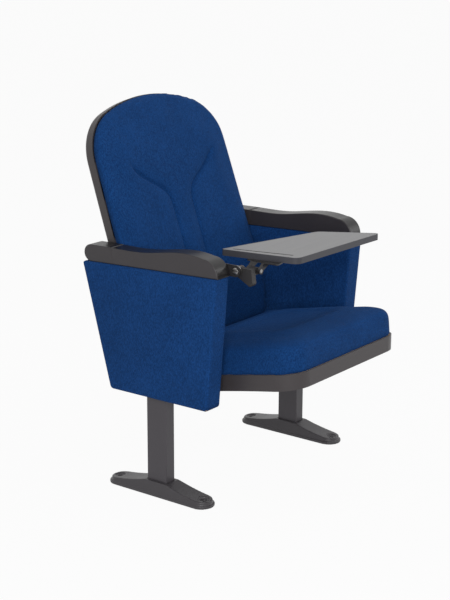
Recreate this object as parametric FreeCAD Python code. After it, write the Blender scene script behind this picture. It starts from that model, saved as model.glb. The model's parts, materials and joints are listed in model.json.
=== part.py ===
import FreeCAD, Part
import os
import math

# Tip up auditorium seat. Millimetres, +Z up, origin on the floor midway between the columns.
# The seat faces -Y, so a place is given as (x, forward, z), with forward = -Y.
# "right" and "left" are the sitter's own sides: right is -X, left is +X.
# Every piece of a pair is drawn on the left, and the right one is its mirror image.

# Floor feet
foot_length = 318.0
foot_width = 65.8
foot_lip_height = 7.0
foot_lip_step = 4.0
foot_draft = 3.0
foot_end_height = 15.5
foot_top_height = 36.3
foot_crest_half_length = 34.0
foot_shoulder = 138.0
foot_sag = 2.4
bolt_spacing_y = 270.0
bolt_hole_radius = 5.5
bolt_recess_radius = 13.0
bolt_recess_floor = 13.0

# Columns
column_width = 34.0
column_depth = 60.0
column_forward = -1.0
column_wall = 2.5
column_corner = 3.0
column_bottom = 8.0
column_top = 560.0
socket_clearance = 0.2

# Side panels, which stand clear of the seat: corners of the side view as (forward, z)
seat_side_gap = 26.2
column_inset = 18.9
panel_width = 53.2
panel_rear_top = (-218.4, 567.5)
panel_rear_bottom = (-133.9, 254.7)
panel_front_bottom = (168.2, 255.9)
panel_front_top = (195.0, 582.1)
cover_thickness = 1.5
cover_edge_radius = 4.5
core_clearance = 0.4

# Armrests
arm_overhang = 2.1
arm_width = 48.0
arm_rear = -218.0
arm_rear_top = (-196.9, 610.6)
arm_valley_rear = (-122.0, 611.8)
arm_valley = (-30.0, 614.0)
arm_hump = (70.0, 628.3)
arm_knuckle = (152.0, 624.8)
arm_nose = (187.0, 607.0)
arm_cap_joint = -126.5
arm_joint_gap = 0.3
arm_edge_radius = 2.5
arm_boss_radius = 9.0

# Head plates that join the columns to the armrests
head_plate_half_length = 75.0
head_plate_thickness = 4.0
arm_screw_offset = 58.0
arm_screw_radius = 3.0
arm_screw_head_radius = 5.5
arm_screw_head_height = 4.0
arm_screw_length = 40.0

# Backrest. Its own frame has v up the reclined plane and w forward of the seam between shell and cushion.
recline = 19.1
back_forward = -159.2
back_height = 600.0
back_side_gap = 4.6
back_bottom = -275.0
back_top = 359.0
back_bottom_corner = 22.0
back_corner_growth = 0.5
back_shoulder = 215.0
back_shoulder_drop = 0.6
back_side_taper = 6.0
shell_depth = 28.0
shell_wall = 5.0
shell_edge_radius = 10.0
back_board_thickness = 10.0
back_board_clearance = 5.5
back_layers = 0.3

# Back cushion, in layers forward from the seam: inset, lift of the lower edge, and w
back_cushion_layers = (
    (6.0, 6.0, 0.0),
    (2.4, 14.0, 7.0),
    (2.0, 36.0, 17.0),
    (6.0, 66.0, 26.0),
    (20.0, 104.0, 32.0),
    (56.0, 150.0, 35.4),
    (104.0, 200.0, 36.4),
)

# Sewn channels of the back cushion
channel_width = 6.0
channel_floor = 29.5
channel_bottom = -170.0
channel_points = ((165.0, 190.0), (140.0, 160.0), (102.0, 136.0), (58.0, 109.0), (41.0, 86.0), (40.0, 40.0))

# Brackets that hold the backrest shell between the side panels
back_bracket_length = 140.0
back_bracket_drop = 14.8
back_bracket_inset = 3.0
back_bracket_gap = 0.1
back_bolt_margin = 30.0
back_bolt_radius = 4.0
back_bolt_head_radius = 7.0
back_bolt_head_height = 4.0
back_bolt_reach = 22.0
bolt_clearance = 0.1
hole_end_gap = 1.0

# Seat pan: its underside is an arc through three points of the side view
seat_half_width = 235.4
seat_front = 366.8
seat_rear = -40.0
seat_front_corner = 62.0
seat_rear_corner = 24.0
seat_corner_change = 0.2
pan_rear_z = 240.5
pan_middle = (160.0, 286.9)
pan_front_z = 325.6
pan_height = 39.7
pan_overrun = 20.0
pan_wall = 3.0
pan_floor = 3.0
seat_board_thickness = 12.0
seat_clearance = 0.3
frame_tube = 18.0
frame_rail_rear = -10.0
frame_rail_front = 320.0
frame_cross_places = (20.0, 262.0)

# Seat cushion, in layers above the pan's rim: height, inset at the sides and inset at the ends.
# The first layer starts below the rim, where the rim's arc trims it.
cushion_layers = (
    (-12.0, 3.0, 2.6),
    (22.0, 1.6, 1.0),
    (50.0, 2.8, 2.0),
    (64.0, 10.0, 9.0),
    (73.0, 30.0, 28.0),
    (79.0, 70.0, 66.0),
    (81.0, 120.0, 116.0),
)

# Seat pivot
pivot_forward = 55.0
pivot_z = 282.0
pin_radius = 6.0
bush_wall = 3.0
bush_flange_radius = 12.0
bush_flange = 2.5
pin_clearance = 0.05
hinge_arm_thickness = 5.0
hinge_arm_gap = 0.2
hinge_arm_front = 72.0
hinge_arm_tail = -14.0
hinge_arm_low = 8.0
hinge_arm_high = 34.0
hinge_screw_radius = 3.0
hinge_screw_head_radius = 5.5
hinge_screw_head = 3.0
hinge_screw_places = (6.0, 30.0)
hinge_screw_height = 15.0
hinge_screw_reach = 16.0

# Bearing plate bolted to the column, with its stop and spring
bearing_plate_thickness = 4.0
bearing_plate_round = 14.0
bearing_plate_rear = -26.0
bearing_bolt_forward = -14.0
bearing_bolt_heights = (262.0, 322.0)
bearing_bolt_radius = 4.0
bearing_bolt_head_radius = 6.5
bearing_bolt_head_height = 5.0
bearing_bolt_reach = 13.0
stop_radius = 9.0
stop_forward = -3.0
stop_gap = 0.3
spring_wire_radius = 1.2
spring_radius = 9.0
spring_turns = 3
spring_pitch = 3.0
spring_end_gap = 0.3

# Writing tablet, corners of its outline as (x, forward)
tablet_corners = ((-216.6, 134.0), (82.8, 209.1), (161.8, 343.4), (-182.6, 333.2))
tablet_corner_radii = (6.0, 30.0, 8.0, 20.0)
tablet_bottom = 615.0
tablet_thickness = 15.0
edging_thickness = 2.0
edging_clearance = 0.05
groove_start = (-196.4, 158.5)
groove_end = (-164.0, 304.0)
groove_radius = 3.0
groove_depth = 3.0

# Tablet mechanism: the swing shaft runs along X and the flip pin along Y, both at one height
mechanism_drop = 19.0
swing_forward = 210.0
flip_reach = 16.5
swing_shaft_radius = 8.0
bracket_thickness = 3.5
bracket_rear = 150.0
bracket_half_height = 14.0
bracket_screw_places = (160.0, 178.0)
bracket_screw_radius = 2.5
bracket_screw_reach = 16.0
washer_thickness = 3.5
washer_radius = 13.0
knuckle_width = 14.7
knuckle_rise = 7.5
knuckle_lug_forward = 247.0
knuckle_lug_drop = 25.0
knuckle_lug_radius = 8.0
knuckle_lug_clearance = 0.3
knuckle_web_step = 2.0
knuckle_boss_radius = 13.0
knuckle_trim = 80.0
barrel_radius = 8.0
barrel_rear = 226.0
barrel_front = 250.0
nut_radius = 10.2
nut_height = 5.5
flip_pin_radius = 4.5
ear_thickness = 7.0
ear_gap = 0.3
plate_thickness = 3.0
plate_left_x = -211.0
plate_right_x = -80.0
plate_rear = 206.0
plate_front = 296.0
plate_taper = 26.0
tablet_screw_radius = 2.5
tablet_screw_head_radius = 4.5
tablet_screw_head = 1.5
tablet_screw_length = 11.0
tablet_screw_places = ((-170.0, 222.0), (-170.0, 280.0), (-100.0, 237.0), (-100.0, 265.0))

# Values worked out from the sizes above
panel_inner_x = seat_half_width + seat_side_gap
column_x = panel_inner_x + column_inset
arm_inner_x = panel_inner_x - arm_overhang
back_half_width = panel_inner_x - back_side_gap
back_bracket_high = (panel_rear_top[1] - back_bracket_drop - back_height) / math.cos(math.radians(recline))
back_bracket_low = back_bracket_high - back_bracket_length
mechanism_z = tablet_bottom - mechanism_drop
knuckle_outer_x = bracket_thickness + washer_thickness + ear_gap - arm_inner_x
knuckle_inner_x = knuckle_outer_x + knuckle_width
knuckle_top = mechanism_z + knuckle_rise
flip_x = knuckle_inner_x + flip_reach
column_inner = column_x - column_width / 2
column_outer = column_x + column_width / 2
column_rear = column_forward - column_depth / 2
column_front = column_forward + column_depth / 2
arm_outer_x = arm_inner_x + arm_width
head_plate_top = column_top + head_plate_thickness
tablet_top = tablet_bottom + tablet_thickness
plate_bottom = tablet_bottom - plate_thickness
pin_start = seat_half_width + hinge_arm_gap
hinge_arm_outer = pin_start + hinge_arm_thickness
bearing_face = panel_inner_x - bearing_plate_thickness
bush_radius = pin_radius + pin_clearance + bush_wall
AXIS_X = FreeCAD.Vector(1, 0, 0)
AXIS_Y = FreeCAD.Vector(0, 1, 0)
AXIS_Z = FreeCAD.Vector(0, 0, 1)


def at(x, forward, z):
    """A point from its place across, its distance forward and its height."""
    return FreeCAD.Vector(x, -forward, z)


def block(x0, x1, forward0, forward1, z0, z1):
    """A box between two values on each axis."""
    return Part.makeBox(x1 - x0, forward1 - forward0, z1 - z0, at(x0, forward1, z0))


def rod_x(radius, forward, z, x0, x1):
    return Part.makeCylinder(radius, x1 - x0, at(x0, forward, z), AXIS_X)


def rod_z(radius, x, forward, z0, z1):
    return Part.makeCylinder(radius, z1 - z0, at(x, forward, z0), AXIS_Z)


def rod_forward(radius, x, z, forward0, forward1):
    return Part.makeCylinder(radius, forward1 - forward0, at(x, forward1, z), AXIS_Y)


def side_prism(points, x0, x1):
    """A polygon of the side view, given as (forward, z), run across from x0 to x1."""
    outline = Part.makePolygon([at(x0, f, z) for f, z in points] + [at(x0, *points[0])])
    return Part.Face(outline).extrude(AXIS_X * (x1 - x0))


def arc(a, b, c):
    return Part.Arc(a, b, c).toShape()


def line(a, b):
    return Part.LineSegment(a, b).toShape()


def rounded_outline(corners, radii, z):
    """A closed wire through (x, forward) corners at one height, each corner rounded by its radius."""
    points = [at(x, f, z) for x, f in corners]
    edges = []
    ends = []
    for i, corner in enumerate(points):
        before = (points[i - 1] - corner).normalize()
        after = (points[(i + 1) % len(points)] - corner).normalize()
        half = before.getAngle(after) / 2
        reach = radii[i] / math.tan(half)
        middle = (before + after).normalize()
        sweep = corner + middle * (radii[i] / math.sin(half) - radii[i])
        ends.append((corner + before * reach, sweep, corner + after * reach))
    for i, (start, middle, end) in enumerate(ends):
        edges.append(arc(start, middle, end))
        edges.append(line(end, ends[(i + 1) % len(ends)][0]))
    return Part.Wire(edges)


def rounded_block(corners, radii, z0, z1):
    return Part.Face(rounded_outline(corners, radii, z0)).extrude(AXIS_Z * (z1 - z0))


def rectangle(half_x, forward0, forward1, centre_x=0.0):
    x0, x1 = centre_x - half_x, centre_x + half_x
    return ((x0, forward0), (x1, forward0), (x1, forward1), (x0, forward1))


def stadium(half_width, half_length, z, x):
    """A long outline with half round ends."""
    straight = half_length - half_width
    left, right = x - half_width, x + half_width
    return Part.Wire([
        line(at(left, -straight, z), at(left, straight, z)),
        arc(at(left, straight, z), at(x, half_length, z), at(right, straight, z)),
        line(at(right, straight, z), at(right, -straight, z)),
        arc(at(right, -straight, z), at(x, -half_length, z), at(left, -straight, z)),
    ])


def pair(name, shape):
    """Write the left piece, and its mirror image as the right one."""
    save(name + "_left", shape)
    save(name + "_right", mirrored(shape))


def mirrored(shape):
    return shape.mirror(FreeCAD.Vector(0, 0, 0), AXIS_X)


def save(name, *solids):
    shape = solids[0] if len(solids) == 1 else Part.makeCompound(solids)
    if not shape.isValid():
        print("not valid:", name)
    shape.exportStep("parts/" + name + ".step")
    print(name, len(shape.Solids), round(shape.Volume))


# Floor feet and columns

def foot():
    half_length = foot_length / 2
    half_width = foot_width / 2
    lip = Part.Face(stadium(half_width, half_length, 0, column_x)).extrude(AXIS_Z * foot_lip_height)
    low = stadium(half_width - foot_lip_step, half_length - foot_lip_step, 0, column_x)
    inset = foot_lip_step + foot_draft
    high = stadium(half_width - inset, half_length - inset, foot_top_height, column_x)
    body = Part.makeLoft([low, high], True, True)
    shoulder_z = foot_end_height + 1
    slope_middle = ((foot_shoulder + foot_crest_half_length) / 2, (shoulder_z + foot_top_height) / 2 - foot_sag)

    def slope(side):
        return arc(
            at(0, side * foot_shoulder, shoulder_z),
            at(0, side * slope_middle[0], slope_middle[1]),
            at(0, side * foot_crest_half_length, foot_top_height),
        )

    side_view = Part.Wire([
        line(at(0, -half_length, 0), at(0, -half_length, foot_end_height)),
        line(at(0, -half_length, foot_end_height), at(0, -foot_shoulder, shoulder_z)),
        slope(-1),
        line(at(0, -foot_crest_half_length, foot_top_height), at(0, foot_crest_half_length, foot_top_height)),
        slope(1),
        line(at(0, foot_shoulder, shoulder_z), at(0, half_length, foot_end_height)),
        line(at(0, half_length, foot_end_height), at(0, half_length, 0)),
        line(at(0, half_length, 0), at(0, -half_length, 0)),
    ])
    envelope = Part.Face(side_view).extrude(AXIS_X * (column_x + foot_width))
    shape = body.common(envelope).fuse(lip)
    socket = column_outline(socket_clearance, column_bottom, foot_top_height)
    shape = shape.cut(socket)
    for side in (-1, 1):
        forward = side * bolt_spacing_y / 2
        shape = shape.cut(rod_z(bolt_hole_radius, column_x, forward, 0, foot_top_height))
        shape = shape.cut(rod_z(bolt_recess_radius, column_x, forward, bolt_recess_floor, foot_top_height))
    return shape.removeSplitter()


def column_outline(growth, z0, z1):
    corners = rectangle(column_width / 2 + growth, column_rear - growth, column_front + growth, column_x)
    return rounded_block(corners, [column_corner + growth] * 4, z0, z1)


def column():
    shape = column_outline(0, column_bottom, column_top)
    shape = shape.cut(column_outline(-column_wall, column_bottom, column_top))
    for z in bearing_bolt_heights:
        shape = shape.cut(bearing_bolt_hole(z))
    return shape


def head_plate():
    shape = block(column_inner, column_outer, -head_plate_half_length, head_plate_half_length,
                  column_top, head_plate_top)
    for side in (-1, 1):
        hole = rod_z(arm_screw_radius + bolt_clearance, column_x, side * arm_screw_offset,
                     column_top, head_plate_top)
        shape = shape.cut(hole)
    return shape


def arm_screws():
    screws = []
    for side in (-1, 1):
        forward = side * arm_screw_offset
        head = rod_z(arm_screw_head_radius, column_x, forward, column_top - arm_screw_head_height, column_top)
        shank = rod_z(arm_screw_radius, column_x, forward, column_top, column_top + arm_screw_length)
        screws.append(head.fuse(shank))
    return screws


# Side panels

def panel_profile(inset):
    """The panel's side view, drawn in on every edge by inset."""
    corners = (panel_rear_top, panel_front_top, panel_front_bottom, panel_rear_bottom)
    outline = Part.makePolygon([at(0, f, z) for f, z in corners] + [at(0, *panel_rear_top)])
    if inset == 0:
        return Part.Face(outline)
    return Part.Face(outline.makeOffset2D(-inset))


def panel_block(inset, radius):
    face = panel_profile(inset)
    face.translate(AXIS_X * (panel_inner_x + inset))
    shape = face.extrude(AXIS_X * (panel_width - 2 * inset))
    return shape.makeFillet(radius, shape.Edges)


def panel_cavity():
    """The room that the column, its head plate and the armrest's bosses take in the core."""
    gap = core_clearance
    reach = head_plate_half_length + gap
    head_low = column_top - arm_screw_head_height - gap
    shape = block(0, column_outer + gap, column_rear - gap, column_front + gap, 0, head_low)
    shape = shape.fuse(block(0, column_outer + gap, -reach, reach, head_low, head_plate_top + gap))
    for side in (-1, 1):
        shape = shape.fuse(rod_z(arm_boss_radius + gap, column_x, side * arm_screw_offset,
                                 head_plate_top, panel_front_top[1]))
    return shape


def panel_core():
    shape = panel_block(cover_thickness, cover_edge_radius - cover_thickness)
    return shape.cut(panel_cavity()).cut(back_bolt_holes())


def panel_cover():
    shape = panel_block(0, cover_edge_radius)
    shape = shape.cut(panel_block(cover_thickness, cover_edge_radius - cover_thickness))
    gap = core_clearance
    slot = block(panel_inner_x + cover_thickness, column_outer + gap, column_rear - gap, column_front + gap,
                 panel_rear_bottom[1] - gap, panel_rear_bottom[1] + 2 * cover_thickness)
    shape = shape.cut(slot).cut(back_bolt_holes())
    for side in (-1, 1):
        shape = shape.cut(rod_z(arm_boss_radius + gap, column_x, side * arm_screw_offset,
                                head_plate_top, panel_front_top[1]))
    for z in bearing_bolt_heights:
        shape = shape.cut(bearing_bolt_hole(z))
    return shape


# Armrests

def panel_top(forward):
    """Height of the side panel's top edge."""
    slope = (panel_front_top[1] - panel_rear_top[1]) / (panel_front_top[0] - panel_rear_top[0])
    return panel_rear_top[1] + slope * (forward - panel_rear_top[0])


def whole_arm():
    rear_low = at(0, arm_rear_top[0], panel_top(arm_rear_top[0]))
    front_low = at(0, panel_front_top[0], panel_front_top[1])
    rear_middle = at(0, arm_rear, (arm_rear_top[1] + rear_low.z) / 2)
    top = Part.BSplineCurve()
    stations = (arm_rear_top, arm_valley_rear, arm_valley, arm_hump, arm_knuckle)
    top.interpolate([at(0, f, z) for f, z in stations])
    outline = Part.Wire([
        arc(rear_low, rear_middle, at(0, *arm_rear_top)),
        top.toShape(),
        arc(at(0, *arm_knuckle), at(0, *arm_nose), front_low),
        line(front_low, rear_low),
    ])
    face = Part.Face(outline)
    face.translate(AXIS_X * arm_inner_x)
    return face.extrude(AXIS_X * arm_width)


def side_edges(shape):
    """The long edges of the armrest's two side faces, all but those underneath."""
    chosen = []
    for edge in shape.Edges:
        box = edge.BoundBox
        flat = box.XLength < 0.01
        upper = edge.CenterOfMass.z > panel_top(-edge.CenterOfMass.y) + 6 * arm_edge_radius
        if flat and upper and box.YLength > arm_edge_radius:
            chosen.append(edge)
    return chosen


def arm_boss(side):
    forward = side * arm_screw_offset
    return rod_z(arm_boss_radius, column_x, forward, head_plate_top, panel_top(forward) + 2)


def armrest():
    shape = whole_arm()
    shape = shape.makeFillet(arm_edge_radius, side_edges(shape))
    shape = shape.common(block(0, arm_outer_x, arm_cap_joint + arm_joint_gap / 2, panel_front_top[0],
                               panel_rear_bottom[1], arm_hump[1] + arm_width))
    for side in (-1, 1):
        shape = shape.fuse(arm_boss(side))
        shape = shape.cut(rod_z(arm_screw_radius, column_x, side * arm_screw_offset,
                                column_top, column_top + arm_screw_length))
    return shape


def arm_rear_cap():
    shape = whole_arm()
    shape = shape.makeFillet(arm_edge_radius, side_edges(shape))
    return shape.common(block(0, arm_outer_x, arm_rear, arm_cap_joint - arm_joint_gap / 2,
                              panel_rear_bottom[1], arm_hump[1] + arm_width))


# Backrest. Shapes are drawn upright with v as Z and w as forward, then reclined into place.

def reclined(shape):
    shape = shape.copy()
    shape.rotate(FreeCAD.Vector(0, 0, 0), AXIS_X, -recline)
    shape.translate(at(0, back_forward, back_height))
    return shape


def back_outline(inset, bottom, w):
    """The backrest's outline: nearly straight sides, and round shoulders under an arched top."""
    half = back_half_width - inset
    corner = back_bottom_corner + back_corner_growth * inset
    shoulder_v = back_shoulder - back_shoulder_drop * inset
    low = at(half, w, bottom + corner)
    shoulder = at(half - back_side_taper, w, shoulder_v)
    left_low = at(-half, w, bottom + corner)
    left_shoulder = at(-half + back_side_taper, w, shoulder_v)
    top = at(0, w, back_top - inset)
    leaving = turned_heading(low, AXIS_Z, shoulder)
    arriving = FreeCAD.Vector(leaving.x, 0, -leaving.z)
    edges = [
        line(at(-half + corner, w, bottom), at(half - corner, w, bottom)),
        tangent_arc(at(half - corner, w, bottom), AXIS_X, low),
        tangent_arc(low, AXIS_Z, shoulder),
    ]
    edges += biarc(shoulder, leaving, top, AXIS_X * -1)
    edges += biarc(top, AXIS_X * -1, left_shoulder, arriving)
    edges.append(tangent_arc(left_shoulder, arriving, left_low))
    edges.append(tangent_arc(left_low, AXIS_Z * -1, at(-half + corner, w, bottom)))
    return Part.Wire(edges)


def back_slab(inset, bottom, w0, w1):
    return Part.Face(back_outline(inset, bottom, w0)).extrude(AXIS_Y * (w0 - w1))


def back_shell():
    shape = back_slab(0, back_bottom, -shell_depth, 0)
    rear_edges = [edge for edge in shape.Edges if edge.BoundBox.YMin > shell_depth - 0.01]
    shape = shape.makeFillet(shell_edge_radius, rear_edges)
    hollow = back_slab(shell_wall, back_bottom + shell_wall, shell_wall - shell_depth, 0)
    shape = reclined(shape.cut(hollow))
    for bolt in back_bolts():
        shape = shape.cut(bolt).cut(mirrored(bolt))
    return shape.cut(back_bolt_holes()).cut(mirrored(back_bolt_holes()))


def board_front():
    return shell_wall - shell_depth + back_layers + back_board_thickness


def back_board():
    inset = shell_wall + back_board_clearance
    return reclined(back_slab(inset, back_bottom + inset, board_front() - back_board_thickness, board_front()))


def back_cushion():
    """A crowned pad with drawn-in sides. Its foot curves back to meet the shell's lower edge."""
    inner = board_front() + back_layers
    wires = [back_outline(inset, back_bottom + lift, w) for inset, lift, w in back_cushion_layers]
    body = Part.makeLoft(wires, True, False)
    root = back_slab(back_cushion_layers[0][0], back_bottom + back_cushion_layers[0][1], inner, 0)
    shape = body.fuse(root)
    for side in (-1, 1):
        shape = shape.cut(channel(side))
    shape = reclined(shape)
    return shape.cut(back_bolt_heads()).cut(mirrored(back_bolt_heads()))


def channel(side):
    """A sewn channel, cut square to the backrest: an arm of the Y that runs down beside the middle."""
    half = channel_width / 2
    points = list(channel_points) + [(channel_points[-1][0], channel_bottom)]
    pieces = []
    for a, b in zip(points, points[1:]):
        start = FreeCAD.Vector(side * a[0], -channel_floor, a[1])
        end = FreeCAD.Vector(side * b[0], -channel_floor, b[1])
        across = (end - start).normalize().cross(AXIS_Y) * half
        outline = Part.makePolygon([start + across, end + across, end - across, start - across, start + across])
        pieces.append(Part.Face(outline).extrude(AXIS_Y * -shell_depth))
        pieces.append(Part.makeCylinder(half, shell_depth, start, AXIS_Y * -1))
    return pieces[0].fuse(pieces[1:])


def back_bolt_places():
    middle = (shell_wall - shell_depth) / 2 + back_board_thickness / 2
    places = []
    for v in (back_bracket_low + back_bolt_margin, back_bracket_high - back_bolt_margin):
        place = at(0, middle, v)
        rotation = FreeCAD.Rotation(AXIS_X, -recline)
        places.append(rotation.multVec(place) + at(0, back_forward, back_height))
    return places


def back_bolt_start():
    return back_half_width - shell_wall - back_bolt_head_height


def back_bolt_holes():
    holes = []
    for place in back_bolt_places():
        holes.append(rod_x(back_bolt_radius + bolt_clearance, -place.y, place.z, back_bolt_start(),
                           panel_inner_x + back_bolt_reach + hole_end_gap))
    return holes[0].fuse(holes[1])


def back_bolt_heads():
    gap = back_layers
    heads = []
    for place in back_bolt_places():
        heads.append(rod_x(back_bolt_head_radius + gap, -place.y, place.z,
                           back_bolt_start() - gap, back_half_width))
    return heads[0].fuse(heads[1])


def back_bolts():
    bolts = []
    for place in back_bolt_places():
        start = back_bolt_start()
        head = rod_x(back_bolt_head_radius, -place.y, place.z, start, start + back_bolt_head_height)
        shank = rod_x(back_bolt_radius, -place.y, place.z, start + back_bolt_head_height,
                      panel_inner_x + back_bolt_reach)
        bolts.append(head.fuse(shank))
    return bolts


def back_bracket():
    """A flat spacer between the shell's side and the side panel."""
    rear = back_bracket_inset - shell_depth
    corners = (
        (rear, back_bracket_low), (-back_bracket_inset, back_bracket_low),
        (-back_bracket_inset, back_bracket_high), (rear, back_bracket_high),
    )
    shape = reclined(side_prism(corners, back_half_width + back_bracket_gap, panel_inner_x))
    return shape.cut(back_bolt_holes())


# Seat

def pan_underside(forward):
    """Height of the pan's underside, which is a circle through three points of the side view."""
    circle = arc(at(0, seat_rear, pan_rear_z), at(0, *pan_middle), at(0, seat_front, pan_front_z)).Curve
    return circle.Center.z + math.sqrt(circle.Radius ** 2 - (forward + circle.Center.y) ** 2)


def pan_curve(lift, x):
    """Three points of the underside's arc, raised by lift. They overrun the pan at both ends."""
    stations = (seat_rear - pan_overrun, pan_middle[0], seat_front + pan_overrun)
    return [at(x, forward, pan_underside(forward) + lift) for forward in stations]


def pan_band(low, high, x0, x1):
    """The space between two copies of the underside's arc, from x0 to x1."""
    bottom = pan_curve(low, x0)
    top = pan_curve(high, x0)
    outline = Part.Wire([
        arc(*bottom), line(bottom[2], top[2]), arc(*reversed(top)), line(top[0], bottom[0]),
    ])
    return Part.Face(outline).extrude(AXIS_X * (x1 - x0))


def seat_outline(inset_side, inset_end, z):
    corners = rectangle(seat_half_width - inset_side, seat_rear + inset_end, seat_front - inset_end)
    front = seat_front_corner - seat_corner_change * inset_side
    rear = seat_rear_corner + seat_corner_change * inset_side
    return rounded_outline(corners, (rear, rear, front, front), z)


def seat_column(inset):
    """The seat's plan outline, drawn in by inset, standing higher and lower than the whole seat."""
    return Part.Face(seat_outline(inset, inset, 0)).extrude(AXIS_Z * back_height)


def seat_pan():
    width = seat_half_width
    shape = seat_column(0).common(pan_band(0, pan_height, -width, width))
    inside = seat_column(pan_wall).common(pan_band(pan_floor, pan_height * 2, -width, width))
    shape = shape.cut(inside)
    for screw in hinge_screw_rods(hinge_screw_radius):
        shape = shape.cut(screw).cut(mirrored(screw))
    return shape


def seat_board():
    width = seat_half_width
    top = pan_height - seat_clearance
    slab = pan_band(top - seat_board_thickness, top, -width, width)
    return seat_column(pan_wall + seat_clearance).common(slab)


def frame_band(x0, x1, forward0, forward1):
    low = pan_floor + seat_clearance
    band = pan_band(low, low + frame_tube, x0, x1)
    return band.common(block(x0, x1, forward0, forward1, 0, back_height))


def seat_frame():
    outer = seat_half_width - pan_wall - seat_clearance
    inner = outer - frame_tube
    shape = frame_band(inner, outer, frame_rail_rear, frame_rail_front - seat_front_corner / 2)
    shape = shape.fuse(frame_band(-outer, -inner, frame_rail_rear, frame_rail_front - seat_front_corner / 2))
    for place in frame_cross_places:
        shape = shape.fuse(frame_band(-inner, inner, place, place + frame_tube))
    for screw in hinge_screw_rods(hinge_screw_radius):
        shape = shape.cut(screw).cut(mirrored(screw))
    return shape.removeSplitter()


def seat_cushion():
    """A crowned cushion that follows the rim: layers lofted level, then sheared on to the seat's slope."""
    slope = (pan_front_z - pan_rear_z) / (seat_front - seat_rear)
    base = pan_rear_z + pan_height - slope * seat_rear
    rise = pan_middle[1] + pan_height - base - slope * pan_middle[0]
    wires = [seat_outline(side, end, height) for height, side, end in cushion_layers]
    shape = Part.makeLoft(wires, True, False)
    shear = FreeCAD.Matrix()
    shear.A32 = -slope
    shape = shape.transformGeometry(shear)
    shape.translate(AXIS_Z * (base + rise / 2))
    width = seat_half_width
    below = pan_band(-pan_height, pan_height, -width, width)
    return shape.cut(below)


def hinge_screw_rods(radius):
    rods = []
    for forward in hinge_screw_places:
        z = pan_underside(forward) + hinge_screw_height
        rods.append(rod_x(radius, forward, z, seat_half_width - hinge_screw_reach, hinge_arm_outer))
    return rods


def hinge_screws():
    screws = []
    for rod, forward in zip(hinge_screw_rods(hinge_screw_radius), hinge_screw_places):
        centre = rod.BoundBox.Center
        head = rod_x(hinge_screw_head_radius, forward, centre.z, hinge_arm_outer,
                     hinge_arm_outer + hinge_screw_head)
        screws.append(rod.fuse(head))
    return screws + [mirrored(screw) for screw in screws]


def tail_top():
    return pan_underside(stop_forward) + hinge_arm_high


def seat_hinge_arm():
    points = []
    stations = (hinge_arm_tail, pivot_forward, hinge_arm_front)
    for forward in stations:
        points.append((forward, pan_underside(forward) + hinge_arm_low))
    for forward in reversed(stations):
        points.append((forward, pan_underside(forward) + hinge_arm_high))
    shape = side_prism(points, pin_start, hinge_arm_outer)
    shape = shape.cut(rod_x(bush_radius, pivot_forward, pivot_z, pin_start, hinge_arm_outer))
    for screw in hinge_screw_rods(hinge_screw_radius):
        shape = shape.cut(screw)
    return shape


def pivot_bush():
    shape = rod_x(bush_radius, pivot_forward, pivot_z, pin_start, hinge_arm_outer)
    flange = rod_x(bush_flange_radius, pivot_forward, pivot_z, hinge_arm_outer, hinge_arm_outer + bush_flange)
    bore = rod_x(pin_radius + pin_clearance, pivot_forward, pivot_z, 0, panel_inner_x)
    return shape.fuse(flange).cut(bore)


def pivot_pin():
    return rod_x(pin_radius, pivot_forward, pivot_z, pin_start, panel_inner_x)


def bearing_bolt_hole(z):
    return rod_x(bearing_bolt_radius + bolt_clearance, bearing_bolt_forward, z,
                 bearing_face, panel_inner_x + bearing_bolt_reach + hole_end_gap)


def bearing_plate():
    """A steel plate against the side panel that carries the seat's pin ahead of the column."""
    round_end = bearing_plate_round
    corners = (
        (bearing_plate_rear, bearing_bolt_heights[0] - round_end),
        (pivot_forward, pivot_z - round_end),
        (pivot_forward, pivot_z + round_end),
        (bearing_plate_rear + 2 * round_end, bearing_bolt_heights[1] + round_end),
        (bearing_plate_rear, bearing_bolt_heights[1] + round_end),
    )
    shape = side_prism(corners, bearing_face, panel_inner_x)
    shape = shape.fuse(rod_x(round_end, pivot_forward, pivot_z, bearing_face, panel_inner_x))
    shape = shape.cut(pivot_pin())
    for z in bearing_bolt_heights:
        shape = shape.cut(bearing_bolt_hole(z))
    return shape


def bearing_bolts():
    bolts = []
    for z in bearing_bolt_heights:
        head = rod_x(bearing_bolt_head_radius, bearing_bolt_forward, z,
                     bearing_face - bearing_bolt_head_height, bearing_face)
        shank = rod_x(bearing_bolt_radius, bearing_bolt_forward, z, bearing_face,
                      panel_inner_x + bearing_bolt_reach)
        bolts.append(head.fuse(shank))
    return bolts


def seat_stop():
    return rod_x(stop_radius, stop_forward, tail_top() + stop_gap + stop_radius, pin_start, bearing_face)


def seat_spring():
    """The balancing spring: a coil round the pin, its turns made of quarter turn biarcs."""
    start = bearing_face - spring_end_gap - spring_wire_radius - spring_turns * spring_pitch
    steps = spring_turns * 4
    angle = math.pi / 2
    rise = spring_pitch / 4
    slope = rise / (spring_radius * angle)

    def place(step):
        turn = step * angle
        return at(start + rise * step, pivot_forward + spring_radius * math.cos(turn),
                  pivot_z + spring_radius * math.sin(turn))

    def heading(step):
        turn = step * angle
        return FreeCAD.Vector(slope, math.sin(turn), math.cos(turn)).normalize()

    edges = []
    for step in range(steps):
        edges += biarc(place(step), heading(step), place(step + 1), heading(step + 1))
    ring = Part.Wire(Part.Circle(place(0), heading(0), spring_wire_radius).toShape())
    coil = Part.Wire(edges).makePipeShell([ring], True, False)
    print("spring gap", round(spring_pitch - 2 * spring_wire_radius, 2))
    return coil


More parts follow.
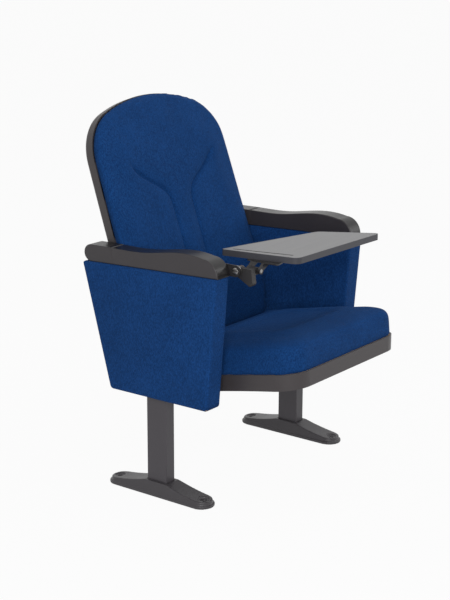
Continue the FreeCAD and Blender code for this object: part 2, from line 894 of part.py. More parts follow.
def biarc(start, leaving, end, arriving):
    """Two arcs that join two points and keep the heading at both."""
    chord = end - start
    both = leaving + arriving
    a = 2 - 2 * leaving.dot(arriving)
    b = 2 * chord.dot(both)
    c = -chord.dot(chord)
    reach = (-b + math.sqrt(b * b - 4 * a * c)) / (2 * a)
    first = start + leaving * reach
    second = end - arriving * reach
    middle = (first + second) * 0.5
    return [tangent_arc(start, leaving, middle), tangent_arc(middle, (second - first).normalize(), end)]


def turned_heading(start, heading, end):
    """The heading with which the arc from start, leaving along heading, reaches end."""
    chord = (end - start).normalize()
    return chord * (2 * heading.dot(chord)) - heading


def tangent_arc(start, heading, end):
    """The arc from start to end that leaves start along heading."""
    chord = end - start
    side = (chord - heading * chord.dot(heading)).normalize()
    radius = chord.dot(chord) / (2 * chord.dot(side))
    centre = start + side * radius
    middle = centre + ((start + end) * 0.5 - centre).normalize() * radius
    return arc(start, middle, end)


# Writing tablet

def tablet_outline_block(inset, z0, z1):
    wire = rounded_outline(tablet_corners, tablet_corner_radii, z0)
    if inset:
        wire = wire.makeOffset2D(-inset)
    return Part.Face(wire).extrude(AXIS_Z * (z1 - z0))


def tablet_board():
    shape = tablet_outline_block(edging_thickness + edging_clearance, tablet_bottom, tablet_top)
    floor = tablet_top - groove_depth
    start = at(*groove_start, floor)
    end = at(*groove_end, floor)
    across = (end - start).normalize().cross(AXIS_Z) * groove_radius
    slot = Part.makePolygon([start + across, end + across, end - across, start - across, start + across])
    shape = shape.cut(Part.Face(slot).extrude(AXIS_Z * groove_depth))
    for place in (groove_start, groove_end):
        shape = shape.cut(rod_z(groove_radius, *place, floor, tablet_top))
    for x, forward in tablet_screw_places:
        shape = shape.cut(rod_z(tablet_screw_radius, x, forward, tablet_bottom,
                                plate_bottom + tablet_screw_length))
    return shape


def tablet_edging():
    return tablet_outline_block(0, tablet_bottom, tablet_top).cut(
        tablet_outline_block(edging_thickness, tablet_bottom, tablet_top))


def ear_places():
    rear = barrel_rear - ear_gap - ear_thickness
    return (rear, barrel_front + ear_gap)


def tablet_plate():
    """The steel plate under the tablet, with the two ears that turn on the flip pin."""
    corners = (
        (plate_left_x, plate_rear), (plate_right_x, plate_rear + plate_taper),
        (plate_right_x, plate_front - plate_taper), (plate_left_x, plate_front),
    )
    shape = rounded_block(corners, (4.0, 12.0, 12.0, 4.0), plate_bottom, tablet_bottom)
    for forward in ear_places():
        ear = rod_forward(barrel_radius, flip_x, mechanism_z, forward, forward + ear_thickness)
        link = Part.makePolygon([
            at(flip_x, forward, mechanism_z), at(flip_x + barrel_radius, forward, mechanism_z),
            at(plate_left_x + 4 * barrel_radius, forward, plate_bottom),
            at(plate_left_x, forward, plate_bottom), at(flip_x, forward, mechanism_z + barrel_radius),
            at(flip_x, forward, mechanism_z),
        ])
        shape = shape.fuse(ear).fuse(Part.Face(link).extrude(AXIS_Y * -ear_thickness))
        shape = shape.cut(rod_forward(flip_pin_radius, flip_x, mechanism_z, forward, forward + ear_thickness))
    for x, forward in tablet_screw_places:
        shape = shape.cut(rod_z(tablet_screw_radius, x, forward, plate_bottom, tablet_bottom))
        shape = shape.cut(rod_z(tablet_screw_head_radius, x, forward, plate_bottom,
                                plate_bottom + tablet_screw_head))
    return shape.removeSplitter()


def tablet_screws():
    screws = []
    for x, forward in tablet_screw_places:
        head = rod_z(tablet_screw_head_radius, x, forward, plate_bottom, plate_bottom + tablet_screw_head)
        shank = rod_z(tablet_screw_radius, x, forward, plate_bottom + tablet_screw_head,
                      plate_bottom + tablet_screw_length)
        screws.append(head.fuse(shank))
    return screws


def flip_pin():
    rear = ear_places()[0]
    front = ear_places()[1] + ear_thickness
    return rod_forward(flip_pin_radius, flip_x, mechanism_z, rear, front)


def swing_bore(x0, x1):
    return rod_x(swing_shaft_radius + pin_clearance, swing_forward, mechanism_z, x0, x1)


def knuckle():
    """The turning block: a side cheek on the swing shaft, and the barrel that holds the flip pin."""
    cheek = rod_x(knuckle_boss_radius, swing_forward, mechanism_z, knuckle_outer_x, knuckle_inner_x)
    lug_z = mechanism_z - knuckle_lug_drop
    lug = rod_x(knuckle_lug_radius, knuckle_lug_forward, lug_z, knuckle_outer_x, knuckle_inner_x)
    slant = knuckle_boss_radius * math.sqrt(0.5)
    web = side_prism((
        (swing_forward - knuckle_boss_radius, mechanism_z),
        (swing_forward - slant, mechanism_z - slant),
        (knuckle_lug_forward - knuckle_web_step, lug_z - knuckle_lug_radius + knuckle_lug_clearance),
        (knuckle_lug_forward + knuckle_lug_radius, lug_z),
        (barrel_front, knuckle_top),
        (swing_forward, knuckle_top),
    ), knuckle_outer_x, knuckle_inner_x)
    bridge = block(knuckle_outer_x, flip_x, barrel_rear, barrel_front,
                   mechanism_z - barrel_radius, knuckle_top)
    barrel = rod_forward(barrel_radius, flip_x, mechanism_z, barrel_rear, barrel_front)
    above = block(knuckle_outer_x, flip_x, barrel_rear - knuckle_trim, barrel_front + knuckle_trim,
                  knuckle_top, tablet_top)
    shape = cheek.fuse([lug, web, bridge]).cut(above).fuse(barrel)
    shape = shape.cut(swing_bore(knuckle_outer_x, knuckle_inner_x))
    bore = rod_forward(flip_pin_radius + pin_clearance, flip_x, mechanism_z, barrel_rear, barrel_front)
    return shape.cut(bore).removeSplitter()


def tablet_bracket():
    """A steel flange on the armrest's inner face that carries the swing shaft ahead of it."""
    x0 = -arm_inner_x
    x1 = x0 + bracket_thickness
    low = mechanism_z - bracket_half_height
    high = mechanism_z + bracket_half_height
    plate = block(x0, x1, bracket_rear, swing_forward, low, high)
    shape = plate.fuse(rod_x(bracket_half_height, swing_forward, mechanism_z, x0, x1))
    shape = shape.cut(rod_x(swing_shaft_radius, swing_forward, mechanism_z, x0, x1))
    for forward in bracket_screw_places:
        shape = shape.cut(rod_x(bracket_screw_radius, forward, mechanism_z, x0, x1))
    return shape


def bracket_screws():
    screws = []
    for forward in bracket_screw_places:
        x1 = -arm_inner_x + bracket_thickness
        screws.append(rod_x(bracket_screw_radius, forward, mechanism_z, -arm_inner_x - bracket_screw_reach, x1))
    return screws


def swing_shaft():
    return rod_x(swing_shaft_radius, swing_forward, mechanism_z, -arm_inner_x, knuckle_inner_x + nut_height)


def shaft_washer():
    x0 = -arm_inner_x + bracket_thickness
    return rod_x(washer_radius, swing_forward, mechanism_z, x0, x0 + washer_thickness).cut(
        rod_x(swing_shaft_radius, swing_forward, mechanism_z, x0, x0 + washer_thickness))


def shaft_nut():
    x0 = knuckle_inner_x + ear_gap
    corners = []
    for side in range(6):
        turn = side * math.pi / 3
        corners.append((swing_forward + nut_radius * math.cos(turn), mechanism_z + nut_radius * math.sin(turn)))
    shape = side_prism(corners, x0, knuckle_inner_x + nut_height)
    return shape.cut(rod_x(swing_shaft_radius, swing_forward, mechanism_z, x0, knuckle_inner_x + nut_height))


def build_stand():
    pair("foot", foot())
    pair("column", column())
    pair("head_plate", head_plate())
    pair("panel_core", panel_core())
    pair("panel_cover", panel_cover())
    arm = armrest()
    save("armrest_left", arm)
    right_arm = mirrored(arm)
    for screw in bracket_screws():
        right_arm = right_arm.cut(screw)
    save("armrest_right", right_arm)
    pair("arm_rear_cap", arm_rear_cap())
    pair("arm_screws", Part.makeCompound(arm_screws()))
    pair("back_bracket", back_bracket())
    pair("back_bolts", Part.makeCompound(back_bolts()))
    pair("bearing_plate", bearing_plate())
    pair("bearing_bolts", Part.makeCompound(bearing_bolts()))
    pair("pivot_pin", pivot_pin())
    pair("seat_spring", seat_spring())
    pair("seat_stop", seat_stop())
    save("back_shell", back_shell())
    save("back_board", back_board())
    save("back_cushion", back_cushion())


def build_seat():
    save("seat_pan", seat_pan())
    save("seat_frame", seat_frame())
    save("seat_board", seat_board())
    save("seat_cushion", seat_cushion())
    pair("seat_hinge_arm", seat_hinge_arm())
    pair("pivot_bush", pivot_bush())
    save("hinge_screws", *hinge_screws())


def build_tablet():
    save("tablet_bracket", tablet_bracket())
    save("bracket_screws", *bracket_screws())
    save("swing_shaft", swing_shaft())
    save("shaft_washer", shaft_washer())
    save("shaft_nut", shaft_nut())
    save("knuckle", knuckle())
    save("flip_pin", flip_pin())
    save("tablet_plate", tablet_plate())
    save("tablet_screws", *tablet_screws())
    save("tablet_board", tablet_board())
    save("tablet_edging", tablet_edging())


os.makedirs("parts", exist_ok=True)
build_stand()
build_seat()
build_tablet()
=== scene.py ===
# %% [markdown]
# ## Tip up auditorium seat
# This file dresses a finished CAD model of an auditorium seat: an upholstered seat that tips up
# between two side panels, a reclined back in a moulded shell, two armrests, and a writing tablet
# that folds away beside the seat. The CAD pieces arrive already in place, in metres, so nothing
# here has to be fitted. The work is in the cloth, the plastic and the light.

# %% Load the frame
import json
import math

import bmesh
import bpy
import numpy as np
from mathutils import Matrix, Vector, noise
from mathutils.bvhtree import BVHTree


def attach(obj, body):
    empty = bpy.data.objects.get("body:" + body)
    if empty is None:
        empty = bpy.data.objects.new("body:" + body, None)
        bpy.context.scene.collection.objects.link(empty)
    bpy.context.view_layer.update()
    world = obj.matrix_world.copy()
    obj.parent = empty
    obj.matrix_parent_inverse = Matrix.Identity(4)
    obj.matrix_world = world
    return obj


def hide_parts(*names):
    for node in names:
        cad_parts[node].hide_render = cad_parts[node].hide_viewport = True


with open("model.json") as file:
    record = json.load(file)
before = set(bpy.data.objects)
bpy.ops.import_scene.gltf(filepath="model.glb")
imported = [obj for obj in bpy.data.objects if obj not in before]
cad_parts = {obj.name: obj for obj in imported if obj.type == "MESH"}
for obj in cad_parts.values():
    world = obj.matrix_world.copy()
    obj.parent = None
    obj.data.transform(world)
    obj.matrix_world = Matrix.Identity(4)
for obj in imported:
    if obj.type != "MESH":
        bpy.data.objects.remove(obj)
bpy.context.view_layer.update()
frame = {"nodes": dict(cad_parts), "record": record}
nodes = frame["nodes"]
scene = bpy.context.scene
scene.view_settings.view_transform = "Standard"
MM = 0.001

# %% [markdown]
# ### Camera
# The photograph was taken from the front left of the seat, a little above the tablet. The camera's
# place was worked out from straight edges of the feet, columns and panels. A long lens keeps the
# upright edges nearly parallel, as they are in the photograph. It is tilted by a sixth of a degree.

# %% Camera
EYE = Vector((-2.9678, -2.2372, 1.4460))
AIM = Vector((-0.0184, 0.0023, 0.4400))
LENS = 90.4
ROLL = math.radians(0.15)

camera = bpy.data.objects.new("camera", bpy.data.cameras.new("camera"))
camera.data.lens = LENS
camera.data.clip_end = 50
camera.location = EYE
facing = (AIM - EYE).to_track_quat("-Z", "Y").to_matrix() @ Matrix.Rotation(ROLL, 3, "Z")
camera.rotation_euler = facing.to_euler()
scene.collection.objects.link(camera)
scene.camera = camera

# %% [markdown]
# ### Nodes
# A shader is a tree of nodes, and writing one by hand repeats the same three steps: add a node, set
# its values, link its inputs. One helper does all three. Effects that several finishes share are
# node groups with named inputs and outputs, built once and placed in each finish.

# %% Helpers for shader nodes
def add(tree, kind, sockets=(), **settings):
    """Adds a node. sockets gives each input, by name or number, a value or another node's output."""
    node = tree.nodes.new("ShaderNode" + kind)
    for name, value in settings.items():
        setattr(node, name, value)
    for name, value in dict(sockets).items():
        if isinstance(value, bpy.types.NodeSocket):
            tree.links.new(value, node.inputs[name])
        else:
            node.inputs[name].default_value = value
    return node


def maths(tree, operation, first, second=0.0):
    node = add(tree, "Math", {0: first, 1: second}, operation=operation)
    return node.outputs[0]


def noise_field(tree, place, scale, detail=2.0, stretch=(1.0, 1.0, 1.0)):
    """Soft random values of 0 to 1, in lumps of about 1 / scale metres."""
    placed = add(tree, "Mapping", {"Vector": place, "Scale": stretch}).outputs[0]
    return add(tree, "TexNoise", {"Vector": placed, "Scale": scale, "Detail": detail}).outputs["Fac"]


def new_group(name, inputs, outputs):
    """An empty node group, with its input and output nodes."""
    tree = bpy.data.node_groups.new(name, "ShaderNodeTree")
    for label, kind, value in inputs:
        socket = tree.interface.new_socket(name=label, in_out="INPUT", socket_type="NodeSocket" + kind)
        socket.default_value = value
    for label, kind in outputs:
        tree.interface.new_socket(name=label, in_out="OUTPUT", socket_type="NodeSocket" + kind)
    return tree, tree.nodes.new("NodeGroupInput"), tree.nodes.new("NodeGroupOutput")


# %% [markdown]
# ### Woven cloth
# The cover is a plain woven wool mix: threads cross over and under each other about every
# millimetre, and each thread holds lighter and darker fibres. Two crossed sine waves give the over
# and under. Cloth lies on faces that point every way, so the waves of all three axes are made and
# each counts by how much the surface faces it. Noise of three sizes adds fibres, flecks and the
# slow changes of tone that a large panel of cloth shows.

# %% Woven cloth group
cloth_tree, cloth_in, cloth_out = new_group(
    "woven cloth",
    (("Place", "Vector", (0, 0, 0)), ("Facing", "Vector", (0, 0, 1)), ("Thread", "Float", 0.0013),
     ("Deep", "Color", (0, 0, 0.1, 1)), ("Lit", "Color", (0, 0.1, 0.3, 1))),
    (("Color", "Color"), ("Height", "Float"), ("Roughness", "Float")),
)
FIBRES_PER_METRE, FLECKS_PER_METRE, CLOUDS_PER_METRE = 1100, 430, 11
RIB_SHARE, FLECK_SHARE, CLOUD_SHARE, FIBRE_SHARE = 0.35, 3.2, 0.7, 0.6
TONE_OFFSET = 0.15
CLOTH_ROUGHNESS, FLECK_ROUGHNESS = 0.78, 0.16


def build_woven_cloth(tree, given, result):
    per_metre = maths(tree, "DIVIDE", 2 * math.pi, given.outputs["Thread"])
    turned = add(tree, "VectorMath", {0: given.outputs["Place"], "Scale": per_metre}, operation="SCALE")
    split = add(tree, "SeparateXYZ", {0: turned.outputs[0]})
    waves = [maths(tree, "SINE", split.outputs[i]) for i in range(3)]
    crossed = add(tree, "CombineXYZ", {
        0: maths(tree, "MULTIPLY", waves[1], waves[2]),
        1: maths(tree, "MULTIPLY", waves[0], waves[2]),
        2: maths(tree, "MULTIPLY", waves[0], waves[1]),
    })
    square = add(tree, "VectorMath", {0: given.outputs["Facing"], 1: given.outputs["Facing"]},
                 operation="MULTIPLY")
    weave = add(tree, "VectorMath", {0: crossed.outputs[0], 1: square.outputs[0]},
                operation="DOT_PRODUCT").outputs["Value"]
    fibre = noise_field(tree, given.outputs["Place"], FIBRES_PER_METRE, 2)
    fleck = noise_field(tree, given.outputs["Place"], FLECKS_PER_METRE, 2, (1.0, 1.0, 0.5))
    spots = maths(tree, "MULTIPLY", maths(tree, "SUBTRACT", fleck, 0.5), FLECK_SHARE)
    cloud = noise_field(tree, given.outputs["Place"], CLOUDS_PER_METRE, 3)
    tone = maths(tree, "ADD", maths(tree, "MULTIPLY", weave, RIB_SHARE), spots)
    tone = maths(tree, "ADD", tone, maths(tree, "MULTIPLY", cloud, CLOUD_SHARE))
    tone = maths(tree, "ADD", tone, maths(tree, "MULTIPLY", fibre, FIBRE_SHARE))
    tone = maths(tree, "SUBTRACT", tone, TONE_OFFSET)
    tint = add(tree, "Mix", {0: tone, 6: given.outputs["Deep"], 7: given.outputs["Lit"]},
               data_type="RGBA")
    tree.links.new(tint.outputs[2], result.inputs["Color"])
    height = maths(tree, "ADD", maths(tree, "MULTIPLY", weave, 0.5),
                   maths(tree, "MULTIPLY", fibre, 0.8))
    tree.links.new(height, result.inputs["Height"])
    rough = maths(tree, "ADD", maths(tree, "MULTIPLY", fleck, FLECK_ROUGHNESS), CLOTH_ROUGHNESS)
    tree.links.new(rough, result.inputs["Roughness"])


build_woven_cloth(cloth_tree, cloth_in, cloth_out)

# %% [markdown]
# ### Grained surface
# Moulded plastic, powder coat and cast iron differ in how large and how deep their grain is. Each
# also has patches that hands and boots have polished or dulled, which show as slow changes of
# roughness. One group gives all of them a height, a roughness and a tone.

# %% Grained surface group
grain_tree, grain_in, grain_out = new_group(
    "grained surface",
    (("Place", "Vector", (0, 0, 0)), ("Grain", "Float", 0.0008), ("Base", "Color", (0.1, 0.1, 0.1, 1)),
     ("Rough", "Float", 0.45), ("Patches", "Float", 0.15)),
    (("Color", "Color"), ("Height", "Float"), ("Roughness", "Float")),
)
PATCHES_PER_METRE, SCUFFS_PER_METRE = 16, 120
BASE_TONE, PATCH_TONE, PIT_TONE = 0.81, 0.22, 0.16
SCUFF_ROUGHNESS = 0.10


def build_grained_surface(tree, given, result):
    per_metre = maths(tree, "DIVIDE", 1.0, given.outputs["Grain"])
    turned = add(tree, "VectorMath", {0: given.outputs["Place"], "Scale": per_metre}, operation="SCALE")
    pits = noise_field(tree, turned.outputs[0], 1.0, 3)
    patch = noise_field(tree, given.outputs["Place"], PATCHES_PER_METRE, 4)
    scuff = noise_field(tree, given.outputs["Place"], SCUFFS_PER_METRE, 3, (0.25, 1.0, 1.0))
    tree.links.new(pits, result.inputs["Height"])
    swing = maths(tree, "MULTIPLY", maths(tree, "SUBTRACT", patch, 0.5), given.outputs["Patches"])
    rub = maths(tree, "MULTIPLY", maths(tree, "SUBTRACT", scuff, 0.5), SCUFF_ROUGHNESS)
    rough = maths(tree, "ADD", maths(tree, "ADD", given.outputs["Rough"], swing), rub)
    tree.links.new(rough, result.inputs["Roughness"])
    tone = maths(tree, "ADD", maths(tree, "MULTIPLY", patch, PATCH_TONE),
                 maths(tree, "MULTIPLY", pits, PIT_TONE))
    tone = maths(tree, "ADD", tone, BASE_TONE)
    light = add(tree, "VectorMath", {0: given.outputs["Base"], "Scale": tone}, operation="SCALE")
    tree.links.new(light.outputs[0], result.inputs["Color"])


build_grained_surface(grain_tree, grain_in, grain_out)

# %% [markdown]
# ### Finishes
# Each finish is one material with one Principled shader. Colours are written as the photograph
# shows them under plain light: a deep royal blue cloth, warm dark greys for plastic and paint, and
# a mid grey laminate for the tablet. The values are linear, so they look darker than they print.
# On the armrests, faces that don't look sideways, the tops and fronts, get a painted shade.

# %% Helpers for finishes
SIDEWAYS_POWER = 1.5


def new_finish(name):
    """A material with its tree, its shader and its object coordinates."""
    material = bpy.data.materials.new(name)
    material.use_nodes = True
    tree = material.node_tree
    shader = tree.nodes["Principled BSDF"]
    place = add(tree, "TexCoord")
    return material, tree, shader, place


def bumped(tree, shader, height, distance, strength=1.0):
    bump = add(tree, "Bump", {"Height": height, "Distance": distance, "Strength": strength})
    tree.links.new(bump.outputs[0], shader.inputs["Normal"])


def cloth_finish(name, deep, lit, turn=0.0):
    """The woven cover. turn lays the weave along a reclined surface."""
    material, tree, shader, place = new_finish(name)
    lean = (turn, 0.0, 0.0)
    where = add(tree, "Mapping", {"Vector": place.outputs["Object"], "Rotation": lean})
    faces = add(tree, "Mapping", {"Vector": place.outputs["Normal"], "Rotation": lean})
    weave = add(tree, "Group", node_tree=cloth_tree)
    tree.links.new(where.outputs[0], weave.inputs["Place"])
    tree.links.new(faces.outputs[0], weave.inputs["Facing"])
    weave.inputs["Deep"].default_value = (*deep, 1)
    weave.inputs["Lit"].default_value = (*lit, 1)
    tree.links.new(weave.outputs["Color"], shader.inputs["Base Color"])
    tree.links.new(weave.outputs["Roughness"], shader.inputs["Roughness"])
    shader.inputs["Sheen Weight"].default_value = 0.06
    shader.inputs["Sheen Roughness"].default_value = 0.45
    shader.inputs["Sheen Tint"].default_value = (0.2, 0.45, 1.0, 1)
    shader.inputs["Specular IOR Level"].default_value = 0.09
    bumped(tree, shader, weave.outputs["Height"], 0.0005, 0.6)
    return material


def grained_finish(name, base, rough, grain=0.0008, depth=0.00006, patches=0.15, metal=0.0, painted_shade=1.0):
    """Moulded plastic, paint, cast iron or steel. Faces that don't look sideways get a painted shade.
    """
    material, tree, shader, place = new_finish(name)
    surface = add(tree, "Group", node_tree=grain_tree)
    tree.links.new(place.outputs["Object"], surface.inputs["Place"])
    surface.inputs["Grain"].default_value = grain
    # Painted shade: faces that don't look sideways, the arms' tops and fronts, are scaled darker.
    aside = add(tree, "SeparateXYZ", {0: place.outputs["Normal"]}).outputs["X"]
    aside = maths(tree, "POWER", maths(tree, "ABSOLUTE", aside), SIDEWAYS_POWER)
    shaded_base = tuple(channel * painted_shade for channel in base)
    tint = add(tree, "Mix", {0: aside, 6: (*shaded_base, 1), 7: (*base, 1)}, data_type="RGBA")
    tree.links.new(tint.outputs[2], surface.inputs["Base"])
    surface.inputs["Rough"].default_value = rough
    surface.inputs["Patches"].default_value = patches
    tree.links.new(surface.outputs["Color"], shader.inputs["Base Color"])
    tree.links.new(surface.outputs["Roughness"], shader.inputs["Roughness"])
    shader.inputs["Metallic"].default_value = metal
    shader.inputs["Specular IOR Level"].default_value = 0.35
    bumped(tree, shader, surface.outputs["Height"], depth)
    return material


# %% Finishes
RECLINE = math.radians(19.1)
BLUE_DEEP = (0.0028, 0.0265, 0.102)
BLUE_LIT = (0.0082, 0.0545, 0.198)
BLUE_PANEL_DEEP = (0.0040, 0.0310, 0.116)
BLUE_PANEL_LIT = (0.0105, 0.0610, 0.222)

finishes = {
    "back cloth": cloth_finish("back cloth", BLUE_DEEP, BLUE_LIT, RECLINE),
    "seat cloth": cloth_finish("seat cloth", BLUE_DEEP, BLUE_LIT),
    "panel cloth": cloth_finish("panel cloth", BLUE_PANEL_DEEP, BLUE_PANEL_LIT),
    # The arm plastic's tops and fronts get a painted shade at a fifth of its colour.
    "arm plastic": grained_finish("arm plastic", (0.037, 0.033, 0.036), 0.34, 0.0007, 0.00004, 0.12,
                                  painted_shade=0.2),
    "shell plastic": grained_finish("shell plastic", (0.050, 0.044, 0.045), 0.44, 0.0010, 0.00008),
    "pan plastic": grained_finish("pan plastic", (0.046, 0.040, 0.042), 0.42, 0.0010, 0.00008),
    "column paint": grained_finish("column paint", (0.058, 0.053, 0.060), 0.40, 0.0012, 0.00005),
    "foot enamel": grained_finish("foot enamel", (0.052, 0.048, 0.053), 0.40, 0.0022, 0.00018, 0.2),
    "bracket paint": grained_finish("bracket paint", (0.016, 0.015, 0.016), 0.42, 0.0010, 0.00006),
    "zinc steel": grained_finish("zinc steel", (0.30, 0.29, 0.28), 0.34, 0.0006, 0.00003, 0.2, 1.0),
    "tablet edging": grained_finish("tablet edging", (0.042, 0.042, 0.050), 0.40, 0.0008, 0.00004),
    "stop rubber": grained_finish("stop rubber", (0.020, 0.020, 0.021), 0.75, 0.0010, 0.00008),
    "bush nylon": grained_finish("bush nylon", (0.72, 0.70, 0.64), 0.45, 0.0010, 0.00003),
}

# %% [markdown]
# ### Tablet laminate and plywood
# The tablet's top is a grey laminate with a fine grain along its length. The boards inside
# the seat, the back and the panels are plain plywood. Both are noise that is stretched along one
# axis: a long thin stretch gives fibres, and a slower one gives bands. Below the tablet's top, in
# the pen groove and underneath, the colour turns near black: painted shade.

# %% Striped finish
# Near black painted shade for the pen groove and the tablet's underside.
SHADE_BELOW_FACING = (0.030, 0.028, 0.029)
TABLET_FACING = 0.6292
FIBRE_LINES_PER_METRE, BANDS_PER_METRE = 700, 70
FIBRE_LINE_SHARE, BAND_SHARE = 0.65, 0.35
BAND_ROUGHNESS = 0.12


def striped_finish(name, dark, light, rough, stretch, depth, shade_below=None):
    """Grain that runs one way. Below a given height the colour turns near black: painted shade."""
    material, tree, shader, place = new_finish(name)
    fine = noise_field(tree, place.outputs["Object"], FIBRE_LINES_PER_METRE, 3, stretch)
    bands = noise_field(tree, place.outputs["Object"], BANDS_PER_METRE, 3, stretch)
    tone = maths(tree, "ADD", maths(tree, "MULTIPLY", fine, FIBRE_LINE_SHARE),
                 maths(tree, "MULTIPLY", bands, BAND_SHARE))
    tint = add(tree, "Mix", {0: tone, 6: (*dark, 1), 7: (*light, 1)}, data_type="RGBA")
    shown = tint.outputs[2]
    if shade_below is not None:
        # Painted shade: below the tablet's top the colour turns near black.
        height = add(tree, "SeparateXYZ", {0: place.outputs["Object"]}).outputs["Z"]
        above_shade = maths(tree, "GREATER_THAN", height, shade_below)
        shown = add(tree, "Mix", {0: above_shade, 6: (*SHADE_BELOW_FACING, 1), 7: shown}, data_type="RGBA").outputs[2]
    tree.links.new(shown, shader.inputs["Base Color"])
    level = maths(tree, "ADD", maths(tree, "MULTIPLY", bands, BAND_ROUGHNESS), rough)
    tree.links.new(level, shader.inputs["Roughness"])
    bumped(tree, shader, fine, depth)
    return material


finishes["tablet laminate"] = striped_finish(
    "tablet laminate", (0.132, 0.131, 0.135), (0.200, 0.198, 0.202), 0.34, (0.06, 1.0, 1.0), 0.00002,
    TABLET_FACING)
finishes["plywood"] = striped_finish(
    "plywood", (0.33, 0.22, 0.12), (0.52, 0.38, 0.23), 0.6, (1.0, 0.05, 1.0), 0.0001)
print("finishes:", len(finishes))

# %% [markdown]
# ### Carried pieces
# A CAD piece whose shape is right stays, and only its finish changes. CAD meshes are loose
# triangles, so a curved one looks faceted. The large curved pieces are therefore shown by a copy
# whose triangles are merged and shaded smooth, with sharp edges kept where faces meet at an angle.

# %% Finish for each CAD node
FINISH_BY_START = (
    ("arm_screws", "zinc steel"), ("arm", "arm plastic"), ("back_board", "plywood"),
    ("back_bolts", "zinc steel"), ("back_bracket", "bracket paint"),
    ("back_shell", "shell plastic"), ("back_cushion", "back cloth"),
    ("bearing_bolts", "zinc steel"), ("bearing_plate", "bracket paint"),
    ("bracket_screws", "zinc steel"), ("column", "column paint"), ("flip_pin", "zinc steel"),
    ("foot", "foot enamel"), ("head_plate", "bracket paint"), ("hinge_screws", "zinc steel"),
    ("knuckle", "bracket paint"), ("panel_core", "plywood"), ("panel_cover", "panel cloth"),
    ("pivot_bush", "bush nylon"), ("pivot_pin", "zinc steel"), ("seat_board", "plywood"),
    ("seat_cushion", "seat cloth"), ("seat_frame", "bracket paint"),
    ("seat_hinge_arm", "bracket paint"), ("seat_pan", "pan plastic"),
    ("seat_spring", "zinc steel"), ("seat_stop", "stop rubber"), ("shaft_nut", "zinc steel"),
    ("shaft_washer", "zinc steel"), ("swing_shaft", "zinc steel"),
    ("tablet_board", "tablet laminate"), ("tablet_bracket", "bracket paint"),
    ("tablet_edging", "tablet edging"), ("tablet_plate", "bracket paint"),
    ("tablet_screws", "zinc steel"),
)
BODIES = {node: body for body, held in frame["record"]["behaviour"]["bodies"].items() for node in held}


def finish_of(node):
    return next(finishes[name] for start, name in FINISH_BY_START if node.startswith(start))


for node, carried in nodes.items():
    carried.data.materials.clear()
    carried.data.materials.append(finish_of(node))


# %% Show a piece in place of a CAD node
MERGE_DISTANCE = 0.002 * MM
SHARP_ANGLE, NEVER_SHARP = 28, 180


def stand_for(piece, node):
    """Lets a finished piece stand for a CAD node, with its finish and body; the node is hidden."""
    piece.data.materials.clear()
    piece.data.materials.append(finish_of(node))
    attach(piece, BODIES[node])
    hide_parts(node)


def new_piece(name, mesh):
    piece = bpy.data.objects.new(name, mesh)
    scene.collection.objects.link(piece)
    return piece


def merged_copy(node):
    """A bmesh of a CAD node with its loose triangles joined."""
    bm = bmesh.new()
    bm.from_mesh(nodes[node].data)
    bmesh.ops.remove_doubles(bm, verts=bm.verts, dist=MERGE_DISTANCE)
    return bm


def smooth_mesh(bm, name, angle):
    mesh = bpy.data.meshes.new(name)
    bm.to_mesh(mesh)
    bm.free()
    mesh.shade_smooth()
    mesh.set_sharp_from_angle(angle=math.radians(angle))
    return mesh


def settle(obj):
    """Makes what a piece's modifiers show its own mesh."""
    graph = bpy.context.evaluated_depsgraph_get()
    made = bpy.data.meshes.new_from_object(obj.evaluated_get(graph))
    obj.modifiers.clear()
    obj.data = made


def soften(mesh, rounds, moves=lambda vert: True):
    """Evens a mesh out: each point that moves goes half way to its neighbours' middle."""
    bm = bmesh.new()
    bm.from_mesh(mesh)
    free = [vert for vert in bm.verts if moves(vert)]
    for _ in range(rounds):
        bmesh.ops.smooth_vert(bm, verts=free, factor=0.5,
                              use_axis_x=True, use_axis_y=True, use_axis_z=True)
    bm.to_mesh(mesh)
    bm.free()


SMOOTHED = ("back_shell", "seat_pan", "armrest_left", "armrest_right", "arm_rear_cap_left",
            "arm_rear_cap_right", "column_left", "column_right", "tablet_edging", "knuckle",
            "tablet_plate", "tablet_bracket", "swing_shaft")
for node in SMOOTHED:
    name = node + "_smooth"
    smoothed = new_piece(name, smooth_mesh(merged_copy(node), name, SHARP_ANGLE))
    weighted = smoothed.modifiers.new("weighted", "WEIGHTED_NORMAL")
    weighted.keep_sharp = True
    settle(smoothed)
    stand_for(smoothed, node)
print("smoothed:", len(SMOOTHED))

# %% [markdown]
# ### Feet
# The feet are iron castings, so no edge on them is crisp. A fine voxel remesh gives the casting an
# even skin, and a few rounds of smoothing wear its edges, as a mould and a coat of enamel would.

# %% Feet
CAST_VOXEL = 1.6 * MM
CAST_ROUNDS = 4


def divide_evenly(piece, size):
    """Gives a closed piece a new skin of small even squares."""
    skin = piece.modifiers.new("skin", "REMESH")
    skin.mode = "VOXEL"
    skin.voxel_size = size
    settle(piece)


for node in ("foot_left", "foot_right"):
    name = node + "_casting"
    casting = new_piece(name, smooth_mesh(merged_copy(node), name, NEVER_SHARP))
    divide_evenly(casting, CAST_VOXEL)
    soften(casting.data, CAST_ROUNDS)
    casting.data.shade_smooth()
    stand_for(casting, node)
    print(casting.name, len(casting.data.polygons), "faces")

# %% [markdown]
# ### Cushions
# Each cushion is a foam block under a taut sewn cover. The foam swells against the cover, so its
# faces crown and its edges pull in. The way here is to copy the CAD pad, divide it evenly with a
# voxel remesh, draw it in a little, and let a cloth simulation with inner pressure fill it out
# again. Points that rest on the pan or the shell are held, and no point may move further than a
# cap, so the cushion keeps its measured size. A few rounds of smoothing and one subdivision even
# the result out.

